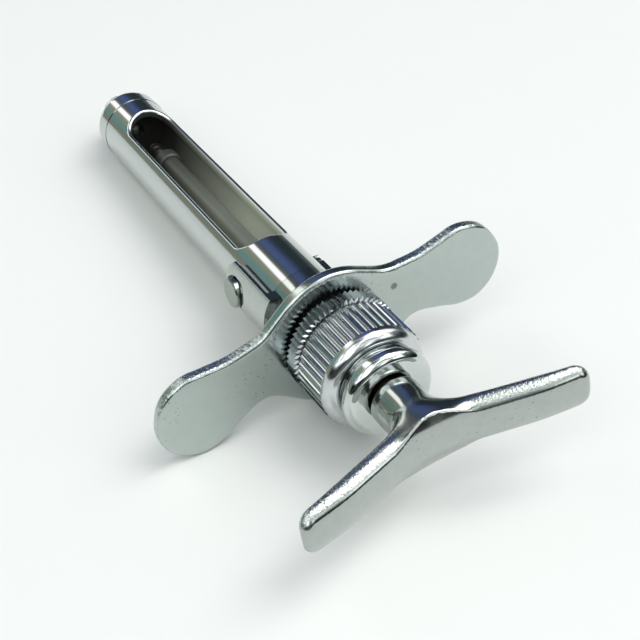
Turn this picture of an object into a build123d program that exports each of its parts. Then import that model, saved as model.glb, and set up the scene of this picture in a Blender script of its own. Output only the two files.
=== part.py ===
"""Aspirating dental cartridge syringe with a tilting barrel, finger wings and a palm handle.

Millimetres. +X runs along the axis towards the needle, +Y to the left, +Z up out of the barrel
window. The wings and the handle both turn about X and are drawn a little off level. The origin is the centre of the front face that a dental needle screws up to.
"""
import os
from math import cos, hypot, pi, radians, sin

from build123d import *

# ---------------------------------------------------------------- barrel
BARREL_R = 6.0
CHAMBER_R = 4.75
BREECH_X = -69.0
TUBE_FRONT_X = -5.0
WINDOW_REAR_X = BREECH_X + 11.0
WINDOW_FRONT_X = BREECH_X + 59.0
WINDOW_HALF_WIDTH = 3.9
WINDOW_REAR_CORNER_R = 2.7
WINDOW_FRONT_CORNER_R = 3.85
WINDOW_EDGE_ROUND = 0.5
BREECH_GAP = 0.06

# ---------------------------------------------------------------- needle end
CAP_R = 6.1
CAP_ROUND = 2.4
CAP_SPIGOT = 0.8
CAP_PORT_R = 1.2
ADAPTOR_R = 2.95
ADAPTOR_REACH = 4.5
ADAPTOR_CHAMFER = 0.4
ADAPTOR_SHANK_R = 3.4
ADAPTOR_SCREWED_IN = 4.0
ADAPTOR_BORE_R = 0.9
THREAD_DEPTH = 0.35
THREAD_PITCH = 0.75
THREAD_CREST = 0.4

# ---------------------------------------------------------------- tilting joint of the barrel
PIVOT_X = BREECH_X + 7.8
PIVOT_Z = -0.1
TILT_MAX = 22.0
RIVET_SHANK_R = 1.0
RIVET_HEAD_R = 2.35
RIGHT_RIVET_HEAD_R = 1.3
RIVET_HEAD_SEAT_Y = 6.7
RIVET_HEAD_FACE_Y = 8.2
RIGHT_RIVET_FACE_Y = 7.6
RIVET_GROOVE = 0.3
FORK_R = 7.6
FORK_TOP_Z = 3.9
FORK_SLOT = BARREL_R + 0.06
LUG_END_R = 3.0
RIGHT_LUG_END_R = 1.9
RIGHT_LUG_TOP_Z = 1.3
LUG_EDGE_ROUND = 0.25
SADDLE_FRONT_X = BREECH_X + 5.0
SADDLE_CORNER = 1.6

# ---------------------------------------------------------------- hub
NECK_R = 6.0
FLARE_START_X = BREECH_X - 2.2
FLARE_R = 9.9
FLANGE_FRONT_X = BREECH_X - 7.8
SPIGOT_R = 5.6
SPIGOT_END_X = BREECH_X - 18.0
HUB_POCKET_R = 4.6
HUB_POCKET_END_X = BREECH_X - 9.2
GUIDE_SEAT_R = 4.1
GUIDE_FRONT_X = BREECH_X - 10.6
GUIDE_END_X = BREECH_X - 15.0

# ---------------------------------------------------------------- spring that loads the cartridge
THRUST_BORE_R = 3.1
THRUST_R = HUB_POCKET_R - 0.06
THRUST_LENGTH = 2.4
SPRING_MEAN_R = 3.85
SPRING_WIRE_R = 0.3
SPRING_TURNS = 4.5
SPRING_SEAT = 0.8

# ---------------------------------------------------------------- finger flange
WING_TURN = -14.0
FLANGE_THICKNESS = 2.0
FLANGE_DISC_R = 11.0
FLANGE_EDGE_ROUND = 0.65
FLANGE_CORNER_R = 2.5
FLANGE_BORE_R = SPIGOT_R + 0.05
WING_TIP_Y = 29.1
WING_TOP = ((7.6, 6.8), (12.6, 6.15), (16.0, 5.9), (19.5, 6.3), (23.0, 6.65), (26.6, 5.0))
WING_BOTTOM = ((26.9, -5.7), (23.6, -7.35), (20.6, -7.0), (17.2, -5.4), (13.2, -4.0), (8.8, -5.0))

# ---------------------------------------------------------------- knurled pieces behind the flange
LOCK_RING_R = 8.5
LOCK_RING_FRONT_X = FLANGE_FRONT_X - FLANGE_THICKNESS
LOCK_RING_LENGTH = 3.2
LOCK_RING_BOSS = 0.45
SLEEVE_R = 8.3
SLEEVE_FRONT_X = BREECH_X - 13.06
FLUTE_END_X = BREECH_X - 19.8
SLEEVE_END_X = BREECH_X - 21.8
SLEEVE_END_R = 6.2
FLUTES = 46
FLUTE_DEPTH = 0.5
END_CAP_THREAD_R = 4.4
END_CAP_NECK_R = 5.4
BEAD_R = 6.9
BEAD_FRONT_X = BREECH_X - 22.7
BEAD_END_X = BREECH_X - 25.2

# ---------------------------------------------------------------- plunger
ROD_R = 1.75
ROD_CLEARANCE = 0.05
GUIDE_SLEEVE_R = 3.5
HOME_GAP = 0.5
PISTON_R = 2.3
PISTON_FRONT_X = BREECH_X + 50.5
PISTON_LENGTH = 2.4
ROD_THREAD_R = 1.1
HARPOON_TIP_X = BREECH_X + 57.0
HARPOON_R = 0.85
BARB_R = 1.3
BARBS = 3

# ---------------------------------------------------------------- palm handle
HANDLE_TURN = -10.0
BOSS_FRONT_X = BEAD_END_X - HOME_GAP
HANDLE_HALF_HEIGHT = 3.6
HANDLE_TIP_Y = 22.0
HANDLE_EDGE_ROUND = 1.0
HANDLE_TIP_ROUND = 2.9
BOSS_R = 3.9
BOSS_FLARE = 1.1
ROD_SOCKET_X = BOSS_FRONT_X - 7.0
PALM_CURVE = ((0.0, -36.3), (5.0, -36.9), (10.0, -38.2), (15.0, -39.5), (19.6, -40.2))
FRONT_CURVE = ((20.2, -37.7), (17.0, -37.0), (14.0, -36.1), (9.8, -34.5), (6.4, -32.3), (4.4, -29.0))


def turned(*points):
    """Solid of revolution about X from (x, radius) points."""
    outline = make_face(Plane.XZ * Polyline(*points, close=True))
    return revolve(outline, axis=Axis.X)


def revolved(*lines):
    """Solid of revolution about X from joined (x, radius) lines and arcs."""
    edges = [edge for line in lines for edge in line.edges()]
    return revolve(Plane.XZ * make_face(edges), axis=Axis.X)


def cylinder_x(radius, x_from, x_to):
    """Plain cylinder on the X axis between two stations."""
    return turned((x_from, 0), (x_from, radius), (x_to, radius), (x_to, 0))


def cylinder_y(radius, y_from, y_to, x, z):
    """Plain cylinder parallel to Y through (x, z)."""
    length = y_to - y_from
    return Pos(x, (y_from + y_to) / 2, z) * Rot(90, 0, 0) * Cylinder(radius, length)


def block(x_from, x_to, y_from, y_to, z_from, z_to):
    """Box between two corners."""
    centre = Pos((x_from + x_to) / 2, (y_from + y_to) / 2, (z_from + z_to) / 2)
    return centre * Box(x_to - x_from, y_to - y_from, z_to - z_from)


def threaded_profile(radius, x_from, x_to):
    """Points along a row of small V grooves, standing for a fine external thread."""
    grooves = int(abs(x_to - x_from) / THREAD_PITCH)
    pitch = (x_to - x_from) / (grooves + THREAD_CREST)
    points = []
    for groove in range(grooves):
        start = x_from + groove * pitch
        points.append((start, radius))
        points.append((start + THREAD_CREST * pitch, radius))
        points.append((start + (1 + THREAD_CREST) / 2 * pitch, radius - THREAD_DEPTH))
    points.append((x_from + grooves * pitch, radius))
    points.append((x_to, radius))
    return points


def fluted(radius, x_from, x_to):
    """Straight-fluted cylinder: V flutes cut along its whole length."""
    corners = []
    for flute in range(FLUTES):
        for part, reach in ((0.0, radius), (0.28, radius), (0.64, radius - FLUTE_DEPTH)):
            angle = 2 * pi * (flute + part) / FLUTES
            corners.append((reach * cos(angle), reach * sin(angle)))
    section = make_face(Plane.YZ * Polyline(*corners, close=True))
    return Pos(x_from, 0, 0) * extrude(section, amount=x_to - x_from)


def export(name, shape):
    """Write one sub-part to parts/NAME.step."""
    export_step(shape, f"parts/{name}.step")


# ================================================================ barrel
def make_breech_relief():
    """Cutter that rounds the lower rear of the tube, so that it can tilt off the hub face."""
    swing_r = PIVOT_X - BREECH_X - BREECH_GAP
    tilt = radians(TILT_MAX)
    arc_end = (PIVOT_X - swing_r * cos(tilt), PIVOT_Z - swing_r * sin(tilt))
    arc_middle = (PIVOT_X - swing_r * cos(tilt / 2), PIVOT_Z - swing_r * sin(tilt / 2))
    arc_start = (PIVOT_X - swing_r, PIVOT_Z)
    drop = 2 * BARREL_R
    low_point = (arc_end[0] + drop * sin(tilt), arc_end[1] - drop * cos(tilt))
    arc = ThreePointArc(arc_start, arc_middle, arc_end)
    rest = Polyline(arc_end, low_point, (BREECH_X - 2, low_point[1]), (BREECH_X - 2, PIVOT_Z), arc_start)
    outline = Plane.XZ * make_face(arc.edges() + rest.edges())
    return extrude(outline, amount=BARREL_R + 1, both=True)


def is_window_edge(edge):
    """True for the edges of the loading window that lie on the outside of the tube."""
    for share in (0, 0.5, 1):
        point = edge.position_at(share)
        on_skin = abs(hypot(point.Y, point.Z) - BARREL_R) < 0.02
        if not on_skin or point.Z < 1 or point.X > WINDOW_FRONT_X + 0.1 or point.X < WINDOW_REAR_X - 0.1:
            return False
    return True


def make_barrel_tube():
    """Tube with the loading window on top and a rounded breech that swings clear of the hub."""
    rear_x = BREECH_X + BREECH_GAP
    tube = cylinder_x(BARREL_R, rear_x, TUBE_FRONT_X)
    tube -= cylinder_x(CHAMBER_R, rear_x - 1, TUBE_FRONT_X + 1)
    window_length = WINDOW_FRONT_X - WINDOW_REAR_X
    opening = Rectangle(window_length, 2 * WINDOW_HALF_WIDTH)
    opening = fillet(opening.vertices().sort_by(Axis.X)[:2], WINDOW_REAR_CORNER_R)
    opening = fillet(opening.vertices().sort_by(Axis.X)[-2:], WINDOW_FRONT_CORNER_R)
    window = extrude(opening, amount=2 * BARREL_R)
    tube -= Pos((WINDOW_REAR_X + WINDOW_FRONT_X) / 2, 0, 1) * window
    window_edge = tube.edges().filter_by(is_window_edge)
    tube = fillet(window_edge, WINDOW_EDGE_ROUND)
    tube -= make_breech_relief()
    tube -= cylinder_y(RIVET_SHANK_R + 0.05, -BARREL_R - 1, BARREL_R + 1, PIVOT_X, PIVOT_Z)
    return tube


def make_front_cap():
    """Solid nose of the barrel with the cartridge seat and the threaded needle hole."""
    seat_x = TUBE_FRONT_X - CAP_SPIGOT
    cap = turned(
        (seat_x, CAP_PORT_R), (seat_x, CHAMBER_R), (TUBE_FRONT_X, CHAMBER_R), (TUBE_FRONT_X, CAP_R),
        (0, CAP_R), (0, ADAPTOR_SHANK_R), (-ADAPTOR_SCREWED_IN, ADAPTOR_SHANK_R), (-ADAPTOR_SCREWED_IN, CAP_PORT_R),
    )
    rim = cap.edges().filter_by(GeomType.CIRCLE).sort_by(Axis.X)[-2:].sort_by(lambda edge: edge.radius)[-1]
    return fillet(rim, CAP_ROUND)


def make_needle_adaptor():
    """Stub for the needle hub, with a through bore for the needle's rear point."""
    return turned(
        (-ADAPTOR_SCREWED_IN, ADAPTOR_BORE_R), (-ADAPTOR_SCREWED_IN, ADAPTOR_SHANK_R), (0, ADAPTOR_SHANK_R),
        (0, ADAPTOR_R), (ADAPTOR_REACH - ADAPTOR_CHAMFER, ADAPTOR_R),
        (ADAPTOR_REACH, ADAPTOR_R - ADAPTOR_CHAMFER), (ADAPTOR_REACH, ADAPTOR_BORE_R),
    )


# ================================================================ hub
def make_fork_side(top_z, end_r, low_y, high_y):
    """Side outline of one half of the fork: flat top, round lug end and a short saddle below."""
    front = PIVOT_X + end_r
    saddle_x = SADDLE_FRONT_X - SADDLE_CORNER
    corner_x = front - 1.0
    lug_low = (PIVOT_X + end_r * sin(radians(-20)), PIVOT_Z - end_r * cos(radians(-20)))
    lug_front = (PIVOT_X + end_r * sin(radians(45)), PIVOT_Z - end_r * cos(radians(45)))
    outline = Polyline((BREECH_X - 3, top_z), (corner_x, top_z), (front, top_z - 1.0), (front, PIVOT_Z))
    lug_round = ThreePointArc((front, PIVOT_Z), lug_front, lug_low)
    saddle = Polyline(lug_low, (saddle_x + 0.6, -4.2), (saddle_x, -FORK_R - 1),
                      (BREECH_X - 3, -FORK_R - 1), (BREECH_X - 3, top_z))
    side = Plane.XZ * make_face(outline.edges() + lug_round.edges() + saddle.edges())
    return extrude(side, amount=FORK_R + 2, both=True) & block(
        BREECH_X - 4, front + 1, low_y, high_y, -FORK_R - 2, FORK_R + 2)


def is_left_lug_edge(edge):
    """True for the outer edges of the left lug, above the saddle."""
    for share in (0, 0.5, 1):
        point = edge.position_at(share)
        on_skin = abs(hypot(point.Y, point.Z) - FORK_R) < 0.02
        off_head = hypot(point.X - PIVOT_X, point.Z - PIVOT_Z) > LUG_END_R - 0.15
        on_lug = point.Y > 4.5 and point.X > BREECH_X - 2.5 and point.Z > -3.3
        if not (on_skin and off_head and on_lug):
            return False
    return True


def make_hub_yoke():
    """Neck, flare and fork in one piece: the fork carries the barrel between two lugs."""
    flare_rise = FLARE_R - NECK_R
    flare_run = FLARE_START_X - FLANGE_FRONT_X
    arc_r = (flare_run ** 2 + flare_rise ** 2) / (2 * flare_rise)
    turn = radians(45) if arc_r < flare_run else 0.5 * (flare_run / arc_r)
    arc_middle = (FLARE_START_X - arc_r * sin(turn), NECK_R + arc_r * (1 - cos(turn)))
    face_x = BREECH_X
    outline = Polyline((FLANGE_FRONT_X, FLARE_R), (FLANGE_FRONT_X, SPIGOT_R), (SPIGOT_END_X, SPIGOT_R),
                       (SPIGOT_END_X, 0), (face_x, 0), (face_x, NECK_R), (FLARE_START_X, NECK_R))
    flare = ThreePointArc((FLARE_START_X, NECK_R), arc_middle, (FLANGE_FRONT_X, FLARE_R))
    neck = revolved(outline, flare)

    fork = cylinder_x(FORK_R, BREECH_X - 2.0, PIVOT_X + LUG_END_R)
    left_side = make_fork_side(FORK_TOP_Z, LUG_END_R, 0, FORK_R + 1)
    right_side = make_fork_side(RIGHT_LUG_TOP_Z, RIGHT_LUG_END_R, -FORK_R - 1, 0)
    fork = (fork & left_side) + (fork & right_side)
    yoke = neck + fork
    trough_arc = ThreePointArc((FORK_SLOT, 0), (0, -FORK_SLOT), (-FORK_SLOT, 0))
    trough_top = Polyline((-FORK_SLOT, 0), (-FORK_SLOT, FORK_R + 1), (FORK_SLOT, FORK_R + 1), (FORK_SLOT, 0))
    trough = Plane.YZ * make_face(trough_arc.edges() + trough_top.edges())
    yoke -= Pos(BREECH_X, 0, 0) * extrude(trough, amount=SADDLE_FRONT_X - SADDLE_CORNER - BREECH_X)
    yoke -= block(SADDLE_FRONT_X - SADDLE_CORNER, PIVOT_X + LUG_END_R + 1, -FORK_SLOT, FORK_SLOT,
                  -FORK_R - 1, FORK_R + 1)

    yoke -= cylinder_x(HUB_POCKET_R, HUB_POCKET_END_X, BREECH_X + 1)
    yoke -= cylinder_x(THRUST_BORE_R, GUIDE_FRONT_X, BREECH_X + 1)
    yoke -= cylinder_x(GUIDE_SEAT_R, SPIGOT_END_X - 1, GUIDE_FRONT_X)
    for side_sign, head_r in ((1, RIVET_HEAD_R), (-1, RIGHT_RIVET_HEAD_R)):
        low, high = sorted((side_sign * 5.0, side_sign * (FORK_R + 1)))
        yoke -= cylinder_y(RIVET_SHANK_R, low, high, PIVOT_X, PIVOT_Z)
        low, high = sorted((side_sign * RIVET_HEAD_SEAT_Y, side_sign * (FORK_R + 1)))
        yoke -= cylinder_y(head_r + RIVET_GROOVE, low, high, PIVOT_X, PIVOT_Z)
    return fillet(yoke.edges().filter_by(is_left_lug_edge), LUG_EDGE_ROUND)


def make_pivot_rivets():
    """Two flat-headed rivets, one through each lug into the barrel wall."""
    rivets = []
    heads = ((1, RIVET_HEAD_R, RIVET_HEAD_FACE_Y), (-1, RIGHT_RIVET_HEAD_R, RIGHT_RIVET_FACE_Y))
    for side_sign, head_r, face_y in heads:
        low, high = sorted((side_sign * (CHAMBER_R + 0.05), side_sign * RIVET_HEAD_SEAT_Y))
        shank = cylinder_y(RIVET_SHANK_R, low, high, PIVOT_X, PIVOT_Z)
        low, high = sorted((side_sign * RIVET_HEAD_SEAT_Y, side_sign * face_y))
        head = cylinder_y(head_r, low, high, PIVOT_X, PIVOT_Z)
        rim = head.edges().sort_by(Axis.Y)[-1 if side_sign > 0 else 0]
        rivets.append(shank + chamfer(rim, 0.2))
    return Compound(children=rivets)


def make_thrust_bush():
    """Ring that the spring presses against the rear of a cartridge."""
    front_x = BREECH_X - 0.1
    return turned((front_x - THRUST_LENGTH, THRUST_BORE_R), (front_x - THRUST_LENGTH, THRUST_R),
                  (front_x, THRUST_R), (front_x, THRUST_BORE_R))


def make_thrust_spring():
    """Compression spring between the thrust bush and its seat."""
    front_x = BREECH_X - 0.1 - THRUST_LENGTH - SPRING_WIRE_R
    rear_x = HUB_POCKET_END_X + SPRING_SEAT + SPRING_WIRE_R
    height = front_x - rear_x
    path = Helix(pitch=height / SPRING_TURNS, height=height, radius=SPRING_MEAN_R)
    section = Plane(origin=path @ 0, z_dir=path % 0) * Circle(SPRING_WIRE_R)
    coil = sweep(section, path=path)
    return Pos(rear_x, 0, 0) * Rot(0, 90, 0) * coil


def make_spring_seat():
    """Flat washer at the bottom of the spring pocket."""
    return turned((HUB_POCKET_END_X, THRUST_BORE_R), (HUB_POCKET_END_X, HUB_POCKET_R),
                  (HUB_POCKET_END_X + SPRING_SEAT, HUB_POCKET_R), (HUB_POCKET_END_X + SPRING_SEAT, THRUST_BORE_R))


def make_front_guide():
    """Bush in the hub that guides the rod and stops the piston at full draw."""
    bore = ROD_R + ROD_CLEARANCE
    return turned((GUIDE_END_X, bore), (GUIDE_END_X, GUIDE_SEAT_R), (GUIDE_FRONT_X, GUIDE_SEAT_R),
                  (GUIDE_FRONT_X, bore))


# ================================================================ finger flange
def make_finger_flange():
    """Disc with two paddle wings, clamped between the hub shoulder and the lock ring."""
    top = [(y, z) for y, z in WING_TOP]
    bottom = [(y, z) for y, z in WING_BOTTOM]
    edge = Spline(*top, (WING_TIP_Y, 0.3), *bottom)
    close_line = Polyline(bottom[-1], (0, 0), top[0])
    wing = Plane.YZ * make_face(edge.edges() + close_line.edges())
    disc = Plane.YZ * Circle(FLANGE_DISC_R)
    outline = disc + wing + mirror(wing, about=Plane.XZ)
    corners = [vertex for vertex in outline.vertices() if vertex.center().length < FLANGE_DISC_R + 0.1]
    outline = fillet(corners, FLANGE_CORNER_R)
    rear_x = FLANGE_FRONT_X - FLANGE_THICKNESS
    plate = Pos(rear_x, 0, 0) * extrude(outline, amount=FLANGE_THICKNESS)
    faces = plate.faces().filter_by(Axis.X)
    rims = faces.sort_by(Axis.X)[0].outer_wire().edges() + faces.sort_by(Axis.X)[-1].outer_wire().edges()
    plate = Rot(WING_TURN, 0, 0) * fillet(rims, FLANGE_EDGE_ROUND)
    return plate - cylinder_x(FLANGE_BORE_R, rear_x - 1, FLANGE_FRONT_X + 1)


def make_lock_ring():
    """Thin knurled nut on the hub thread."""
    front_x = LOCK_RING_FRONT_X
    rear_x = front_x - LOCK_RING_LENGTH
    shape = turned((rear_x, FLANGE_BORE_R), (rear_x, LOCK_RING_R - 0.3), (rear_x + 0.3, LOCK_RING_R),
                   (front_x - LOCK_RING_BOSS - 0.3, LOCK_RING_R), (front_x - LOCK_RING_BOSS, LOCK_RING_R - 0.3),
                   (front_x - LOCK_RING_BOSS, SPIGOT_R + 1.2), (front_x, SPIGOT_R + 1.2), (front_x, FLANGE_BORE_R))
    return shape & fluted(LOCK_RING_R, rear_x - 0.5, front_x + 0.5)


# ================================================================ knurled sleeve and end cap
def make_knurled_sleeve():
    """Large fluted sleeve screwed on the hub, with a plain rounded shoulder behind the flutes."""
    inner_x = SPIGOT_END_X - 2.2
    body = turned((SLEEVE_FRONT_X, SPIGOT_R), (SLEEVE_FRONT_X, SLEEVE_R - 0.7),
                  (SLEEVE_FRONT_X - 0.7, SLEEVE_R), (FLUTE_END_X, SLEEVE_R), (FLUTE_END_X, SPIGOT_R))
    body &= fluted(SLEEVE_R, FLUTE_END_X - 1, SLEEVE_FRONT_X + 1)
    shoulder_line = Polyline((FLUTE_END_X, SPIGOT_R), (FLUTE_END_X, SLEEVE_R - 0.15),
                             (FLUTE_END_X - 0.35, SLEEVE_R - 0.15))
    shoulder_arc = ThreePointArc((FLUTE_END_X - 0.35, SLEEVE_R - 0.15), (SLEEVE_END_X + 0.55, SLEEVE_R - 0.72),
                                 (SLEEVE_END_X, SLEEVE_END_R))
    shoulder_end = Polyline((SLEEVE_END_X, SLEEVE_END_R), (SLEEVE_END_X, END_CAP_THREAD_R),
                            (inner_x, END_CAP_THREAD_R), (inner_x, SPIGOT_R), (FLUTE_END_X, SPIGOT_R))
    return body + revolved(shoulder_line, shoulder_arc, shoulder_end)


def make_rod_seal():
    """Rubber ring that drags lightly on the rod."""
    centre_x = SPIGOT_END_X - 1.1
    section = Plane.XZ * Pos(centre_x, ROD_R + ROD_CLEARANCE + 0.9) * Circle(0.9)
    return revolve(section, axis=Axis.X)


def make_seal_washer():
    """Washer that keeps the rubber ring against the hub."""
    front_x = SPIGOT_END_X
    washer_r = SPIGOT_R - 0.1
    return turned((front_x - 2.2, 3.95), (front_x - 2.2, washer_r), (front_x, washer_r), (front_x, 3.95))


def make_end_cap():
    """Bead-shaped cap screwed into the sleeve, with a short grooved neck left showing."""
    spigot_front_x = SPIGOT_END_X - 2.2
    groove = threaded_profile(END_CAP_NECK_R, SLEEVE_END_X, BEAD_FRONT_X)
    inner_r = GUIDE_SLEEVE_R
    line = Polyline((BEAD_END_X, inner_r), (spigot_front_x, inner_r), (spigot_front_x, END_CAP_THREAD_R),
                    (SLEEVE_END_X, END_CAP_THREAD_R), *groove, (BEAD_FRONT_X, BEAD_R - 0.9))
    front_arc = ThreePointArc((BEAD_FRONT_X, BEAD_R - 0.9), (BEAD_FRONT_X - 0.28, BEAD_R - 0.26),
                              (BEAD_FRONT_X - 0.95, BEAD_R))
    rear_arc = ThreePointArc((BEAD_FRONT_X - 0.95, BEAD_R), (BEAD_END_X + 0.42, BEAD_R - 0.38),
                             (BEAD_END_X, BEAD_R - 1.2))
    face_line = Line((BEAD_END_X, BEAD_R - 1.2), (BEAD_END_X, inner_r))
    return revolved(line, front_arc, rear_arc, face_line)


def make_rod_guide():
    """Bush in the end cap that guides the rod."""
    bore = ROD_R + ROD_CLEARANCE
    front_x = SPIGOT_END_X - 2.2
    rear_x = BEAD_END_X + 0.15
    return turned((rear_x, bore), (rear_x, GUIDE_SLEEVE_R), (front_x, GUIDE_SLEEVE_R), (front_x, bore))


# ================================================================ plunger
def make_plunger_rod():
    """Plain rod with a short threaded tip at each end."""
    piston_rear_x = PISTON_FRONT_X - PISTON_LENGTH
    return turned((ROD_SOCKET_X, 0), (ROD_SOCKET_X, ROD_R), (piston_rear_x, ROD_R),
                  (piston_rear_x, ROD_THREAD_R), (PISTON_FRONT_X - 1.2, ROD_THREAD_R), (PISTON_FRONT_X - 1.2, 0))


def make_piston():
    """Flat disc that presses on the cartridge stopper."""
    rear_x = PISTON_FRONT_X - PISTON_LENGTH
    return turned((rear_x, ROD_THREAD_R), (rear_x, PISTON_R - 0.3), (rear_x + 0.3, PISTON_R),
                  (PISTON_FRONT_X - 0.2, PISTON_R), (PISTON_FRONT_X, PISTON_R - 0.2), (PISTON_FRONT_X, ROD_THREAD_R))


def make_harpoon():
    """Barbed point that grips the cartridge stopper, so that the plunger can draw back."""
    barb_pitch = (HARPOON_TIP_X - PISTON_FRONT_X - 1.6) / BARBS
    points = [(PISTON_FRONT_X - 1.2, 0), (PISTON_FRONT_X - 1.2, ROD_THREAD_R), (PISTON_FRONT_X, ROD_THREAD_R),
              (PISTON_FRONT_X, HARPOON_R)]
    for barb in range(BARBS):
        start = PISTON_FRONT_X + 1.0 + barb * barb_pitch
        points.append((start, HARPOON_R))
        points.append((start, BARB_R))
        points.append((start + barb_pitch - 0.2, HARPOON_R * 0.85))
    points.append((HARPOON_TIP_X, 0))
    return turned(*points)


def make_palm_handle():
    """Handle with two arms swept back round the palm, on a flared boss."""
    half_front = [(BREECH_X + x, y) for y, x in FRONT_CURVE]
    half_palm = [(BREECH_X + x, y) for y, x in PALM_CURVE]
    tip_x = (half_front[0][0] + half_palm[-1][0]) / 2
    left_front = Spline(*half_front)
    tip = ThreePointArc(half_palm[-1], (tip_x, HANDLE_TIP_Y), half_front[0])
    palm = Spline(*half_palm, tangents=((0, 1), (-0.15, 1)))
    closing = Polyline(half_front[-1], (half_front[-1][0], 0), half_palm[0])
    half_arm = make_face(left_front.edges() + tip.edges() + palm.edges() + closing.edges())
    both_arms = half_arm + mirror(half_arm, about=Plane.XZ)
    plate = Pos(0, 0, -HANDLE_HALF_HEIGHT) * extrude(both_arms, amount=2 * HANDLE_HALF_HEIGHT)
    rim = (plate.faces().sort_by(Axis.Z)[0].edges() + plate.faces().sort_by(Axis.Z)[-1].edges())
    rim = [edge for edge in rim if abs(edge.center().X - half_front[-1][0]) > 0.01]
    ends = extrude(Plane.YZ * RectangleRounded(2 * HANDLE_TIP_Y + 0.4, 2 * HANDLE_HALF_HEIGHT + 0.01,
                                               HANDLE_TIP_ROUND), amount=60, both=True)
    plate = fillet(rim, HANDLE_EDGE_ROUND)
    plate &= Pos(half_palm[0][0], 0, 0) * ends
    boss_rear_x = half_palm[0][0] + 1.5
    boss = turned((boss_rear_x, 0), (boss_rear_x, BOSS_R - 0.35), (half_front[-1][0] + 0.8, BOSS_R),
                  (BOSS_FRONT_X - 0.3, BOSS_R), (BOSS_FRONT_X, BOSS_R - 0.3), (BOSS_FRONT_X, 0))
    handle = plate + boss
    handle -= cylinder_x(ROD_R + ROD_CLEARANCE, ROD_SOCKET_X, BOSS_FRONT_X + 1)
    return Rot(HANDLE_TURN, 0, 0) * handle


# ================================================================ build
def main():
    os.makedirs("parts", exist_ok=True)
    export("barrel_tube", make_barrel_tube())
    export("front_cap", make_front_cap())
    export("needle_adaptor", make_needle_adaptor())
    export("hub_yoke", make_hub_yoke())
    export("pivot_rivets", make_pivot_rivets())
    export("thrust_bush", make_thrust_bush())
    export("thrust_spring", make_thrust_spring())
    export("spring_seat", make_spring_seat())
    export("front_guide", make_front_guide())
    export("finger_flange", make_finger_flange())
    export("lock_ring", make_lock_ring())
    export("knurled_sleeve", make_knurled_sleeve())
    export("rod_seal", make_rod_seal())
    export("seal_washer", make_seal_washer())
    export("end_cap", make_end_cap())
    export("rod_guide", make_rod_guide())
    export("plunger_rod", make_plunger_rod())
    export("piston", make_piston())
    export("harpoon", make_harpoon())
    export("palm_handle", make_palm_handle())


main()
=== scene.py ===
"""Looks, floor, light and camera for the dental syringe. The CAD frame stays as packed."""

from math import cos, pi, radians, sin, tau

import bmesh
import bpy
import numpy as np
from mathutils import Matrix, Vector


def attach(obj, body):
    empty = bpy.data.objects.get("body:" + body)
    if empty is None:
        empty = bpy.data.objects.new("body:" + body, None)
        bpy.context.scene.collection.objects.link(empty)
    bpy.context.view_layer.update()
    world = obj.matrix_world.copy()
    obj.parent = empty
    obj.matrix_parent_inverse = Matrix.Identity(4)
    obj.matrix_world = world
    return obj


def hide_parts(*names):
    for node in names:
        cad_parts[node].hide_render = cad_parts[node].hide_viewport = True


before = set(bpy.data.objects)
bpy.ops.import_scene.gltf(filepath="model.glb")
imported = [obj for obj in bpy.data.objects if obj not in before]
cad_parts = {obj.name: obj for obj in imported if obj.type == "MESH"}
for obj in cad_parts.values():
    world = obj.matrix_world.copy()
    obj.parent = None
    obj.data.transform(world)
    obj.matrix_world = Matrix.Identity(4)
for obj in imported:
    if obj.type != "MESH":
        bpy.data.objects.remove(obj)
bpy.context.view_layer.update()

# Shapes are in millimetres, in the frame the CAD uses. Materials, lights and camera are in
# metres.
MM = 0.001
BREECH = -69.0              # seam between barrel and hub
FLANGE_X = BREECH - 7.8     # front face of the finger plate
PLATE_THICK = 2.0
BORE_R = 5.65               # hole of the plate and the ring, round the hub
RING_FRONT, RING_REAR = FLANGE_X - PLATE_THICK, FLANGE_X - 5.2
RING_TEETH = 58
RING_TIP_R, RING_COLLAR_R = 8.5, 6.8
SLEEVE_FRONT, SLEEVE_REAR = BREECH - 13.06, BREECH - 21.8
FLUTES = 46
FLUTE_RUN_OUT = BREECH - 19.8
SLEEVE_R = 8.3
DISC_R = 11.0
WING_TIP = 29.1
WING_TURN = radians(-14)    # as the photograph shows them, off level with the window
HANDLE_TURN = radians(-10)
ARM_REACH, ARM_HALF_WIDTH = 22.0, 3.6
THREAD_R, THREAD_PITCH, THREAD_DEPTH = 2.95, 0.75, 0.36
THREAD_END = 4.5

DARK_SPECK = (0.10, 0.11, 0.10, 1)
MARK_COLOUR = (0.20, 0.21, 0.20, 1)


# ---------------------------------------------------------------- materials
def new_material(name):
    """Empty node material with its output and principled shader."""
    material = bpy.data.materials.new(name)
    material.use_nodes = True
    return material, material.node_tree, material.node_tree.nodes["Principled BSDF"]


def add(tree, kind, **values):
    """Node of one kind with its attributes and inputs set."""
    node = tree.nodes.new(kind)
    for key, value in values.items():
        if key in node.inputs:
            node.inputs[key].default_value = value
        else:
            setattr(node, key, value)
    return node


def link(tree, source, target):
    """Join an output socket to an input socket."""
    tree.links.new(source, target)


def map_range(tree, value, from_min=0.0, from_max=1.0, to_min=0.0, to_max=1.0, kind="LINEAR"):
    """Output that carries value from one range to the other, held at the ends."""
    node = add(tree, "ShaderNodeMapRange", interpolation_type=kind)
    node.inputs["From Min"].default_value = from_min
    node.inputs["From Max"].default_value = from_max
    node.inputs["To Min"].default_value = to_min
    node.inputs["To Max"].default_value = to_max
    link(tree, value, node.inputs["Value"])
    return node.outputs["Result"]


def math_node(tree, operation, first, second=None):
    """Output of a math node. Each operand is a socket or a number."""
    node = add(tree, "ShaderNodeMath", operation=operation)
    for slot, operand in enumerate((first, second)):
        if isinstance(operand, (int, float)):
            node.inputs[slot].default_value = operand
        elif operand is not None:
            link(tree, operand, node.inputs[slot])
    return node.outputs[0]


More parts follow.
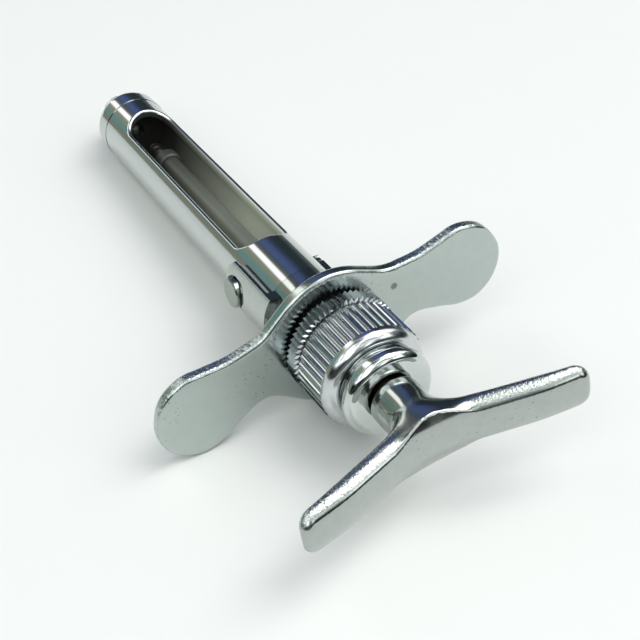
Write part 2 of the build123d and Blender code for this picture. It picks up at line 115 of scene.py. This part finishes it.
def mix_colour(tree, share, first, second, blend="MIX"):
    """Output between two colours. Each is a socket or a colour; share is a socket or a number."""
    node = add(tree, "ShaderNodeMix", data_type="RGBA", blend_type=blend)
    for slot, operand in ((0, share), (6, first), (7, second)):
        if isinstance(operand, (tuple, float)):
            node.inputs[slot].default_value = operand
        else:
            link(tree, operand, node.inputs[slot])
    return node.outputs[2]


def mix_value(tree, share, first, second):
    """Output between two numbers. first is a socket, second is a socket or a number."""
    node = add(tree, "ShaderNodeMix", data_type="FLOAT")
    link(tree, share, node.inputs[0])
    link(tree, first, node.inputs[2])
    if isinstance(second, float):
        node.inputs[3].default_value = second
    else:
        link(tree, second, node.inputs[3])
    return node.outputs[0]


def noise_of(tree, vector, **values):
    """Output of a noise texture read at vector."""
    node = add(tree, "ShaderNodeTexNoise", **values)
    link(tree, vector, node.inputs["Vector"])
    return node.outputs["Fac"]


def feeding(socket):
    """Output that an input socket is linked to now."""
    return socket.links[0].from_socket


def metal(name, low, high, rough, rough_spread, bump, grain=(900, 900, 900), pits=0.0):
    """Metal with a faint change of tint, uneven polish, soft waviness and optional dark pits."""
    wave_scale, wave_depth = 260.0, 0.001
    pit_scale, patch_scale = 1300.0, 130.0
    material, tree, shader = new_material(name)
    shader.inputs["Metallic"].default_value = 1.0
    place = add(tree, "ShaderNodeTexCoord").outputs["Object"]
    stretched = add(tree, "ShaderNodeMapping", Scale=grain)
    link(tree, place, stretched.inputs["Vector"])
    noise = noise_of(tree, stretched.outputs["Vector"], Scale=1.0, Detail=4.0, Roughness=0.6)
    colour = mix_colour(tree, noise, (*low, 1), (*high, 1))
    link(tree, map_range(tree, noise, to_min=rough, to_max=rough + rough_spread),
         shader.inputs["Roughness"])
    bumped = add(tree, "ShaderNodeBump", Strength=bump, Distance=wave_depth)
    link(tree, noise_of(tree, place, Scale=wave_scale, Detail=1.0), bumped.inputs["Height"])
    link(tree, bumped.outputs["Normal"], shader.inputs["Normal"])
    if pits:
        cells = add(tree, "ShaderNodeTexVoronoi", Scale=pit_scale)
        link(tree, place, cells.inputs["Vector"])
        patches = noise_of(tree, place, Scale=patch_scale, Detail=2.0)
        reach = map_range(tree, patches, 0.45, 0.75, 0.02, 0.24)
        speck = math_node(tree, "LESS_THAN", cells.outputs["Distance"], reach)
        colour = mix_colour(tree, math_node(tree, "MULTIPLY", speck, pits), colour, DARK_SPECK)
    link(tree, colour, shader.inputs["Base Color"])
    return material


def satin_bore_with_painted_shade(material, wall_radius, inner_colour, inner_rough):
    """Dull bore: inside the wall radius the plating thins and the colour turns to inner_colour,
    with painted shade that darkens it towards the nose.
    """
    # Painted shade runs along X between the first two values below, down to a small share of the
    # colour at the nose.
    front_face, shade_from, shade_to = -0.0035, -0.042, -0.012
    nose_shade_share, inner_plating = 0.06, 0.25
    tree = material.node_tree
    shader = tree.nodes["Principled BSDF"]
    axes = add(tree, "ShaderNodeSeparateXYZ")
    link(tree, add(tree, "ShaderNodeTexCoord").outputs["Object"], axes.inputs[0])
    across = add(tree, "ShaderNodeCombineXYZ")
    for axis in "YZ":
        link(tree, axes.outputs[axis], across.inputs[axis])
    reach = add(tree, "ShaderNodeVectorMath", operation="LENGTH")
    link(tree, across.outputs[0], reach.inputs[0])
    in_bore = math_node(tree, "LESS_THAN", reach.outputs["Value"], wall_radius)
    behind_face = math_node(tree, "LESS_THAN", axes.outputs["X"], front_face)
    inner = math_node(tree, "MULTIPLY", in_bore, behind_face)
    # Painted shade: the inside colour is scaled down along X, to a small share at the nose, for
    # the shade deep in the bore.
    shaded_inner = add(tree, "ShaderNodeVectorMath", operation="SCALE")
    shaded_inner.inputs[0].default_value = inner_colour
    link(tree, map_range(tree, axes.outputs["X"], shade_from, shade_to, 1.0, nose_shade_share),
         shaded_inner.inputs["Scale"])
    colour = mix_colour(tree, inner, feeding(shader.inputs["Base Color"]), shaded_inner.outputs[0])
    link(tree, colour, shader.inputs["Base Color"])
    rough = mix_value(tree, inner, feeding(shader.inputs["Roughness"]), inner_rough)
    link(tree, rough, shader.inputs["Roughness"])
    link(tree, map_range(tree, inner, to_min=1.0, to_max=inner_plating),
         shader.inputs["Metallic"])


def ground_edges(material, edge_rough, grain, grit_depth, side_from, side_to):
    """Faces that look along the plate's edge, not along X, keep a coarse ground finish."""
    tree = material.node_tree
    shader = tree.nodes["Principled BSDF"]
    coords = add(tree, "ShaderNodeTexCoord")
    facing = add(tree, "ShaderNodeSeparateXYZ")
    link(tree, coords.outputs["Normal"], facing.inputs[0])
    edge = map_range(tree, math_node(tree, "ABSOLUTE", facing.outputs["X"]), 0.85, 0.55,
                     kind="SMOOTHSTEP")
    place = add(tree, "ShaderNodeSeparateXYZ")
    link(tree, coords.outputs["Object"], place.inputs[0])
    outboard = map_range(tree, math_node(tree, "ABSOLUTE", place.outputs["Y"]), side_from, side_to,
                         kind="SMOOTHSTEP")
    share = math_node(tree, "MULTIPLY", edge, outboard)
    scratch = noise_of(tree, coords.outputs["Object"], Scale=grain, Detail=3.0)
    uneven = map_range(tree, scratch, to_min=edge_rough * 0.4, to_max=edge_rough * 1.5)
    rough = mix_value(tree, share, feeding(shader.inputs["Roughness"]), uneven)
    link(tree, rough, shader.inputs["Roughness"])
    grit = add(tree, "ShaderNodeBump", Distance=grit_depth)
    link(tree, share, grit.inputs["Strength"])
    link(tree, scratch, grit.inputs["Height"])
    link(tree, feeding(shader.inputs["Normal"]), grit.inputs["Normal"])
    link(tree, grit.outputs["Normal"], shader.inputs["Normal"])


def punch_mark(material, place, radius):
    """Small dull spot on the rear face of the plate."""
    tree = material.node_tree
    shader = tree.nodes["Principled BSDF"]
    away = add(tree, "ShaderNodeVectorMath", operation="DISTANCE")
    away.inputs[1].default_value = place
    link(tree, add(tree, "ShaderNodeTexCoord").outputs["Object"], away.inputs[0])
    spot = map_range(tree, away.outputs["Value"], radius, radius * 0.55, kind="SMOOTHSTEP")
    colour = mix_colour(tree, spot, feeding(shader.inputs["Base Color"]), MARK_COLOUR)
    link(tree, colour, shader.inputs["Base Color"])


def make_rubber():
    """Black moulded rubber with a fine grain."""
    material, tree, shader = new_material("seal_rubber")
    noise = add(tree, "ShaderNodeTexNoise", Scale=1400.0, Detail=3.0)
    ramp = add(tree, "ShaderNodeValToRGB")
    ramp.color_ramp.elements[0].color = (0.012, 0.012, 0.013, 1)
    ramp.color_ramp.elements[1].color = (0.035, 0.035, 0.037, 1)
    link(tree, noise.outputs["Fac"], ramp.inputs["Fac"])
    link(tree, ramp.outputs["Color"], shader.inputs["Base Color"])
    shader.inputs["Roughness"].default_value = 0.6
    return material


ALONG_BARREL, ALONG_ROD = (150, 900, 900), (120, 900, 900)
CHROME = metal("polished_chrome", (0.55, 0.58, 0.57), (0.66, 0.69, 0.68), 0.045, 0.05, 0.010)
BARREL_CHROME = metal("barrel_chrome", (0.50, 0.53, 0.52), (0.60, 0.63, 0.62), 0.07, 0.07, 0.012,
                      ALONG_BARREL)
KNURL = metal("knurled_chrome", (0.52, 0.54, 0.55), (0.68, 0.70, 0.71), 0.10, 0.10, 0.02)
STEEL = metal("plain_steel", (0.40, 0.41, 0.42), (0.52, 0.53, 0.54), 0.18, 0.10, 0.01)
WIRE = metal("spring_wire", (0.33, 0.34, 0.36), (0.46, 0.47, 0.50), 0.20, 0.12, 0.01)
BRASS = metal("turned_brass", (0.30, 0.21, 0.10), (0.40, 0.29, 0.14), 0.16, 0.10, 0.01)
ROD_STEEL = metal("rod_steel", (0.30, 0.31, 0.28), (0.38, 0.39, 0.35), 0.34, 0.10, 0.01,
                  ALONG_ROD)
HANDLE_CHROME = metal("handle_chrome", (0.38, 0.41, 0.39), (0.48, 0.51, 0.49), 0.08, 0.08, 0.02,
                      (800, 800, 800), pits=0.9)
SATIN_PLATE = metal("satin_plate", (0.42, 0.47, 0.45), (0.50, 0.55, 0.53), 0.13, 0.08, 0.02,
                    (700, 700, 700), pits=0.5)
RIVET_METAL = metal("rivet_steel", (0.26, 0.29, 0.26), (0.34, 0.37, 0.34), 0.16, 0.10, 0.02)
HUB_CHROME = metal("hub_chrome", (0.42, 0.45, 0.43), (0.52, 0.55, 0.53), 0.05, 0.06, 0.015)
RING_METAL = metal("ring_chrome", (0.22, 0.24, 0.25), (0.34, 0.36, 0.37), 0.10, 0.08, 0.02)
RUBBER = make_rubber()

BARREL_WALL = 0.0056
# The barrel's bore gets a dull olive colour of its own, with painted shade towards the nose.
satin_bore_with_painted_shade(BARREL_CHROME, BARREL_WALL, (0.72, 0.75, 0.64), 0.38)
# Painted shade on the rod: inside the barrel it takes a much darker colour, darker still towards
# the nose.
satin_bore_with_painted_shade(ROD_STEEL, BARREL_WALL, (0.17, 0.18, 0.15), 0.45)
ground_edges(SATIN_PLATE, 0.28, 1800.0, 0.00016, 0.008, 0.012)
ground_edges(HANDLE_CHROME, 0.27, 2600.0, 0.00008, 0.003, 0.009)
punch_mark(SATIN_PLATE, (-0.0788, -0.00969, 0.00570), 0.0007)

CAD_LOOKS = {
    "barrel_tube": BARREL_CHROME, "front_cap": BARREL_CHROME, "needle_adaptor": STEEL,
    "hub_yoke": HUB_CHROME, "pivot_rivets": RIVET_METAL, "thrust_bush": STEEL,
    "thrust_spring": WIRE, "spring_seat": STEEL, "front_guide": BRASS,
    "finger_flange": SATIN_PLATE, "lock_ring": KNURL, "knurled_sleeve": KNURL,
    "rod_seal": RUBBER, "seal_washer": STEEL, "end_cap": CHROME, "rod_guide": BRASS,
    "plunger_rod": ROD_STEEL, "piston": ROD_STEEL, "harpoon": ROD_STEEL,
    "palm_handle": HANDLE_CHROME,
}
for node_name, look in CAD_LOOKS.items():
    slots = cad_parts[node_name].data.materials
    slots.clear()
    slots.append(look)


# ---------------------------------------------------------------- mesh helpers
def mesh_object(name, vertices, faces, look, sharp):
    """Mesh from millimetres, shaded smooth but crisp at corners over the sharp angle."""
    data = bpy.data.meshes.new(name)
    data.from_pydata([tuple(c * MM for c in v) for v in vertices], [], faces)
    data.validate()
    shell = bmesh.new()
    shell.from_mesh(data)
    bmesh.ops.recalc_face_normals(shell, faces=shell.faces)
    shell.to_mesh(data)
    shell.free()
    data.shade_smooth()
    data.set_sharp_from_angle(angle=radians(sharp))
    data.materials.append(look)
    obj = bpy.data.objects.new(name, data)
    bpy.context.scene.collection.objects.link(obj)
    return obj


def lathe(name, outline, look, segments, shape, sharp):
    """Closed (x, r) outline turned round X. shape(x, r, angle) gives the radius there."""
    vertices, faces = [], []
    count = len(outline)
    for s in range(segments):
        angle = tau * s / segments
        for x, r in outline:
            radius = shape(x, r, angle)
            vertices.append((x, radius * cos(angle), radius * sin(angle)))
    for s in range(segments):
        t = (s + 1) % segments
        for k in range(count):
            m = (k + 1) % count
            faces.append((s * count + k, s * count + m, t * count + m, t * count + k))
    return mesh_object(name, vertices, faces, look, sharp)


def stand_in(obj, body, *nodes, slot="polished_chrome"):
    """The finer piece is shown in place of CAD nodes and moves with their body."""
    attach(obj, body)
    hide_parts(*nodes)


# ---------------------------------------------------------------- smooth solids from distances
def round_max(a, b, radius):
    """Intersection of two distance fields with a rounded edge."""
    pa, pb = np.maximum(a + radius, 0), np.maximum(b + radius, 0)
    return np.hypot(pa, pb) + np.minimum(np.maximum(a + radius, b + radius), 0) - radius


def smooth_min(a, b, reach):
    """Union of two distance fields with a filled corner."""
    h = np.clip(0.5 + 0.5 * (b - a) / reach, 0, 1)
    return b * (1 - h) + a * h - reach * h * (1 - h)


def smooth_curve(t, places, values):
    """Smooth curve through (places, values), level at the start, read at t."""
    k = np.clip(np.searchsorted(places, t, side="right") - 1, 0, len(places) - 2)
    slopes = np.gradient(values, places)
    slopes[0] = 0.0
    width = places[k + 1] - places[k]
    u = np.clip((t - places[k]) / width, 0, 1)
    a, b = values[k], values[k + 1]
    m, n = slopes[k] * width, slopes[k + 1] * width
    return ((2 * u**3 - 3 * u**2 + 1) * a + (u**3 - 2 * u**2 + u) * m
            + (3 * u**2 - 2 * u**3) * b + (u**3 - u**2) * n)


def turned(y, z, angle):
    """Coordinates across the barrel, in axes turned by angle about it."""
    return y * cos(angle) + z * sin(angle), z * cos(angle) - y * sin(angle)


def net_surface(name, field, low, high, step, look):
    """Quad mesh on the zero level of field(x, y, z), pulled on to the surface."""
    pulls, sharp, flattest = 10, 50, 0.05
    axes = [np.arange(a - step, b + 2 * step, step) for a, b in zip(low, high)]
    inside = field(*np.meshgrid(*axes, indexing="ij")) < 0
    shape = np.array(inside.shape) - 1
    corners = [(i, j, k) for i in (0, 1) for j in (0, 1) for k in (0, 1)]
    block = [inside[i:i + shape[0], j:j + shape[1], k:k + shape[2]] for i, j, k in corners]
    count = np.sum(block, axis=0)
    active = (count > 0) & (count < len(corners))
    number = -np.ones(active.shape, int)
    number[active] = np.arange(active.sum())
    cells = np.argwhere(active)
    points = np.stack([axes[a][cells[:, a]] + step / 2 for a in range(3)], 1)
    h = step * 0.02
    for _ in range(pulls):
        x, y, z = points.T
        f = field(x, y, z)
        slope = np.stack([
            field(x + h, y, z) - field(x - h, y, z),
            field(x, y + h, z) - field(x, y - h, z),
            field(x, y, z + h) - field(x, y, z - h)], 1) / (2 * h)
        length = np.maximum((slope ** 2).sum(1), flattest)
        move = -(f / length)[:, None] * slope
        points = points + np.clip(move, -step, step)
    faces = []
    for axis in range(3):
        u, v = [a for a in range(3) if a != axis]
        edge = np.argwhere(inside != np.roll(inside, -1, axis))
        ok = (edge[:, axis] < shape[axis]) & (edge[:, u] > 0) & (edge[:, v] > 0)
        ok &= (edge[:, u] < shape[u]) & (edge[:, v] < shape[v])
        edge = edge[ok]
        du, dv = np.zeros(3, int), np.zeros(3, int)
        du[u], dv[v] = 1, 1
        ring = [edge - du - dv, edge - dv, edge, edge - du]
        quad = np.stack([number[tuple(c.T)] for c in ring], 1)
        faces.append(quad[(quad >= 0).all(1)])
    return mesh_object(name, points.tolist(), np.concatenate(faces).tolist(), look, sharp)


# ---------------------------------------------------------------- finer pieces
def make_wings():
    """Finger plate whose wings flow out of the disc with soft roots."""
    cell, margin, far, tiny = 0.25, 2.0, 1e9, 1e-9
    root_fill, edge_round = 2.6, 0.65
    top = np.array(((7.6, 6.8), (12.6, 6.15), (16.0, 5.9), (19.5, 6.3), (23.0, 6.65),
                    (26.6, 5.0)))
    tip = ((28.4, 2.2), (WING_TIP, -0.6), (28.5, -3.4))
    bottom = np.array(((26.9, -5.7), (23.6, -7.35), (20.6, -7.0), (17.2, -5.4), (13.2, -4.0),
                       (8.8, -5.0)))
    knots = np.vstack((top, tip, bottom))
    t = np.concatenate(([0.0], np.cumsum(np.hypot(*np.diff(knots, axis=0).T))))
    fine = np.linspace(0, t[-1], 160)
    rim = np.stack([smooth_curve(fine, t, knots[:, a]) for a in range(2)], 1)
    rim = np.vstack((rim, ((0.0, -5.0), (0.0, 6.0))))
    ys, zs = np.arange(-margin, 31, cell), np.arange(-10, 10, cell)
    away = np.full((len(ys), len(zs)), far)
    inside = np.zeros(away.shape, bool)
    grid_y, grid_z = np.meshgrid(ys, zs, indexing="ij")
    for (y0, z0), (y1, z1) in zip(rim, np.roll(rim, -1, 0)):
        dy, dz = y1 - y0, z1 - z0
        square = max(dy * dy + dz * dz, tiny)
        u = np.clip(((grid_y - y0) * dy + (grid_z - z0) * dz) / square, 0, 1)
        away = np.minimum(away, np.hypot(grid_y - y0 - u * dy, grid_z - z0 - u * dz))
        crosses = (z0 > grid_z) != (z1 > grid_z)
        inside ^= crosses & (grid_y < y0 + (grid_z - z0) * dy / (dz if dz else tiny))
    wing = np.where(inside, -away, away)

    def field(x, y, z):
        yy, zz = turned(y, z, WING_TURN)
        a = np.clip((np.abs(yy) - ys[0]) / cell, 0, len(ys) - 1.001)
        b = np.clip((zz - zs[0]) / cell, 0, len(zs) - 1.001)
        i, j = a.astype(int), b.astype(int)
        a, b = a - i, b - j
        low = wing[i, j] * (1 - a) + wing[i + 1, j] * a
        high = wing[i, j + 1] * (1 - a) + wing[i + 1, j + 1] * a
        reach = np.hypot(yy, zz)
        plan = smooth_min(low * (1 - b) + high * b, reach - DISC_R, root_fill)
        half = PLATE_THICK / 2
        plate = round_max(plan, np.abs(x - FLANGE_X + half) - half, edge_round)
        return np.maximum(plate, BORE_R - reach)

    low, high = (FLANGE_X - 2.2, -29.4, -14.0), (FLANGE_X + 0.2, 29.4, 14.0)
    return net_surface("finger_plate", field, low, high, cell, SATIN_PLATE)


def make_ring():
    """Lock ring with sharp triangular teeth and a smooth collar against the finger plate."""
    tooth_depth, tooth_root = 0.55, 8.0

    def tooth(x, r, angle):
        if r < tooth_root:
            return r
        return r - tooth_depth * abs(2 * (angle / tau * RING_TEETH % 1.0) - 1)

    outline = [(RING_REAR, BORE_R), (RING_REAR, 8.2), (RING_REAR + 0.25, RING_TIP_R),
               (RING_FRONT - 0.95, RING_TIP_R), (RING_FRONT - 0.7, 8.2),
               (RING_FRONT - 0.55, RING_COLLAR_R), (RING_FRONT, RING_COLLAR_R),
               (RING_FRONT, BORE_R)]
    return lathe("toothed_ring", outline, RING_METAL, RING_TEETH * 8, tooth, 20)


def make_sleeve():
    """Sleeve with hollow flutes between sharp ridges and a rounded plain shoulder."""
    flute_depth, plain_below = 0.42, 7.55
    mouth_r, inner_r, step_x = 5.6, 4.9, BREECH - 20.2
    shoulder_r, shoulder_x = 6.2, FLUTE_RUN_OUT - 0.02

    def flute(x, r, angle):
        if r < plain_below or x < FLUTE_RUN_OUT - 0.01:
            return r
        u = angle / tau * FLUTES % 1.0
        hollow = flute_depth * (4 * u * (1 - u)) ** 0.75
        return min(r, SLEEVE_R - hollow)

    outline = [(SLEEVE_FRONT, mouth_r), (SLEEVE_FRONT, 7.5), (SLEEVE_FRONT - 0.12, 7.7),
               (SLEEVE_FRONT - 0.7, SLEEVE_R), (FLUTE_RUN_OUT, SLEEVE_R), (shoulder_x, 8.12)]
    outline += [(shoulder_x - 1.93 * sin(radians(a)), shoulder_r + 1.92 * cos(radians(a)))
                for a in range(12, 91, 6)]
    outline += [(SLEEVE_REAR, shoulder_r), (SLEEVE_REAR, inner_r), (step_x, inner_r),
                (step_x, mouth_r)]
    return lathe("fluted_sleeve", outline, KNURL, FLUTES * 14, flute, 24)


def make_handle():
    """Polished handle: crowned palm face, rounded arms and a boss that flows into them."""
    ys = np.array((0.0, 5.0, 10.0, 15.0, 19.6, 22.5))
    palm = BREECH + np.array((-36.3, -36.9, -38.2, -39.5, -40.25, -40.6))
    front = BREECH + np.array((-32.4, -33.2, -34.75, -36.2, -37.5, -38.2))
    crown = 0.85                                # drop of the palm face at the arm's edge
    boss_r, boss_front = 3.85, BREECH - 25.72
    boss_fill = 3.4
    hole_r, hole_end = 1.8, BREECH - 32.7

    def field(x, y, z):
        yy, zz = turned(y, z, HANDLE_TURN)
        side = np.abs(yy)
        back_x = smooth_curve(side, ys, palm) + crown * (zz / ARM_HALF_WIDTH) ** 2
        front_x = smooth_curve(side, ys, front)
        # The two factors turn a distance along X into one square to the sloping face.
        slant = 1 / np.sqrt(1.07 + (0.47 * zz / ARM_HALF_WIDTH) ** 2)
        plan = round_max((x - front_x) * 0.965, (back_x - x) * slant, 0.5)
        flat = round_max(side - ARM_REACH, np.abs(zz) - ARM_HALF_WIDTH, 2.1)
        arms = round_max(plan, flat, 1.3)
        reach = np.hypot(yy, zz)
        boss = round_max(reach - boss_r, x - boss_front, 0.35)
        boss = np.maximum(boss, (BREECH - 34.5) - x)
        body = smooth_min(arms, boss, boss_fill)
        body = np.maximum(body, (back_x - x) * slant)
        hole = np.maximum(reach - hole_r, hole_end - x)
        return np.maximum(body, -hole)

    low, high = (BREECH - 41.2, -22.4, -8.0), (BREECH - 25.4, 22.4, 8.0)
    return net_surface("handle_polished", field, low, high, 0.26, HANDLE_CHROME)


def make_thread():
    """Needle thread cut as a true helix."""
    neck_r, needle_hole_r, plain_end = 3.4, 0.9, 0.15
    stations, station_gap = 54, 0.075

    def cut(x, r, angle):
        if r < 2.5 or x < plain_end:
            return r
        phase = (x / THREAD_PITCH - angle / tau) % 1.0
        return r - THREAD_DEPTH * max(0.0, 1 - abs(2 * phase - 1) * 1.25)

    crest = [(0.0, neck_r), (0.0, THREAD_R)]
    crest += [(0.1 + station_gap * k, THREAD_R) for k in range(stations)]
    outline = [(-4.0, needle_hole_r), (-4.0, neck_r)] + crest
    outline += [(4.3, 2.75), (THREAD_END, 2.5), (THREAD_END, needle_hole_r)]
    return lathe("needle_thread", outline, STEEL, 72, cut, 25)


stand_in(make_wings(), "wings", "finger_flange", slot="satin_chrome")
stand_in(make_ring(), "ring", "lock_ring", slot="knurled_chrome")
stand_in(make_sleeve(), "hub", "knurled_sleeve", slot="knurled_chrome")
stand_in(make_handle(), "handle", "palm_handle")
stand_in(make_thread(), "barrel", "needle_adaptor")


# ---------------------------------------------------------------- floor, light, camera
def make_floor():
    """Plain pale table top, tilted to touch the nose, the finger plate and one wing."""
    material, tree, shader = new_material("table_top")
    noise = add(tree, "ShaderNodeTexNoise", Scale=6.0, Detail=2.0)
    ramp = add(tree, "ShaderNodeValToRGB")
    ramp.color_ramp.elements[0].color = (0.82, 0.83, 0.81, 1)
    ramp.color_ramp.elements[1].color = (0.87, 0.88, 0.86, 1)
    link(tree, noise.outputs["Fac"], ramp.inputs["Fac"])
    link(tree, ramp.outputs["Color"], shader.inputs["Base Color"])
    shader.inputs["Roughness"].default_value = 0.55
    bpy.ops.mesh.primitive_plane_add(size=8)
    floor = bpy.context.object
    floor.name = "table"
    nose = Vector((-2.6, 0, -6.15)) * MM
    heel = Vector((FLANGE_X - 1, 0, -DISC_R)) * MM
    wing = Vector((FLANGE_X - 1, 19.9, -12.75)) * MM
    along = (nose - heel).normalized()
    normal = along.cross(wing - heel).normalized()
    across = normal.cross(along)
    turn = Matrix((along, across, normal)).transposed().to_4x4()
    floor.matrix_world = Matrix.Translation(heel) @ turn
    floor.data.materials.append(material)


def ramp_of(tree, value, stops):
    """Colour output of a ramp with (place, colour) stops, read at value."""
    node = add(tree, "ShaderNodeValToRGB")
    elements = node.color_ramp.elements
    while len(elements) < len(stops):
        elements.new(0.5)
    for element, (place, colour) in zip(elements, stops):
        element.position = place
        element.color = (*colour, 1)
    link(tree, value, node.inputs["Fac"])
    return node.outputs["Color"]


# Read round the barrel from the left (0) over the top to the right (1).
BAND_STOPS = (
    (0.00, (0.31, 0.32, 0.26)), (0.07, (0.26, 0.28, 0.23)), (0.12, (0.22, 0.36, 0.34)),
    (0.18, (0.20, 0.36, 0.36)), (0.22, (0.32, 0.37, 0.28)), (0.295, (0.38, 0.38, 0.31)),
    (0.325, (1.9, 1.9, 1.85)), (0.385, (1.9, 1.9, 1.85)), (0.415, (0.20, 0.19, 0.17)),
    (0.47, (0.10, 0.13, 0.18)), (0.53, (0.10, 0.15, 0.33)), (0.60, (0.09, 0.13, 0.29)),
    (0.67, (0.04, 0.055, 0.08)), (0.83, (0.03, 0.045, 0.05)), (1.00, (0.22, 0.24, 0.24)),
)
# Patches of the wall behind, from dark to bright.
WALL_STOPS = (
    (0.0, (0.05, 0.06, 0.07)), (0.40, (0.08, 0.10, 0.11)), (0.46, (0.45, 0.48, 0.48)),
    (0.54, (0.75, 0.80, 0.80)), (0.58, (1.9, 1.95, 1.95)), (1.0, (2.1, 2.1, 2.1)),
)
# Share of that wall that is left, from straight down (0) to straight up (1).
SKYLINE_STOPS = (
    (0.0, (0.22, 0.23, 0.20)), (0.50, (0.10, 0.105, 0.095)), (0.60, (0.05, 0.055, 0.05)),
    (0.645, (0.08, 0.12, 0.13)), (0.68, (1.0, 1.0, 1.0)), (1.0, (1.0, 1.0, 1.0)),
)


def make_world():
    """Room that the chrome mirrors: coloured bands ahead, a patchy bright wall behind."""
    world = bpy.data.worlds.new("room")
    bpy.context.scene.world = world
    world.use_nodes = True
    tree = world.node_tree
    background = tree.nodes["Background"]
    direction = add(tree, "ShaderNodeTexCoord").outputs["Generated"]
    axes = add(tree, "ShaderNodeSeparateXYZ")
    link(tree, direction, axes.inputs[0])
    angle = math_node(tree, "ARCTAN2", axes.outputs["Z"], axes.outputs["Y"])
    bands = ramp_of(tree, math_node(tree, "DIVIDE", angle, pi), BAND_STOPS)
    clutter = noise_of(tree, direction, Scale=2.3, Detail=1.5, Distortion=0.6)
    wall = ramp_of(tree, clutter, WALL_STOPS)
    height = map_range(tree, axes.outputs["Z"], from_min=-1.0)
    skyline = ramp_of(tree, height, SKYLINE_STOPS)
    room = mix_colour(tree, 1.0, wall, skyline, "MULTIPLY")
    ahead = map_range(tree, axes.outputs["X"], -0.05, 0.30, kind="SMOOTHSTEP")
    link(tree, mix_colour(tree, ahead, room, bands), background.inputs["Color"])
    background.inputs["Strength"].default_value = 1.0


def add_light(name, place, size, power, colour):
    """Soft square light aimed at the middle of the syringe."""
    target = Vector((-0.06, 0, 0))
    data = bpy.data.lights.new(name, "AREA")
    data.shape = "SQUARE"
    data.size = size
    data.energy = power
    data.color = colour
    lamp = bpy.data.objects.new(name, data)
    bpy.context.scene.collection.objects.link(lamp)
    lamp.location = place
    lamp.rotation_euler = (target - Vector(place)).to_track_quat("-Z", "Y").to_euler()


def make_camera():
    """Camera behind, above and to the left of the palm handle, fitted to the photograph."""
    place = Vector((-0.204743, 0.073122, 0.109073))
    right = Vector((-0.49043, -0.87148, -0.00258))
    up = Vector((0.51169, -0.29035, 0.80862))
    back = Vector((-0.70544, 0.39525, 0.58833))
    data = bpy.data.cameras.new("camera")
    data.lens = 71.14
    data.sensor_width = 36
    data.clip_start = 0.01
    camera = bpy.data.objects.new("camera", data)
    turn = Matrix((right, up, back)).transposed().to_4x4()
    camera.matrix_world = Matrix.Translation(place) @ turn
    bpy.context.scene.collection.objects.link(camera)
    bpy.context.scene.camera = camera


make_floor()
make_world()
add_light("window", (-0.35, -0.50, 1.1), 0.8, 6.7, (1.0, 0.99, 0.97))
add_light("fill", (-0.9, 0.7, 0.9), 0.9, 3.3, (0.96, 0.985, 1.0))
make_camera()
bpy.context.scene.view_settings.view_transform = "Standard"
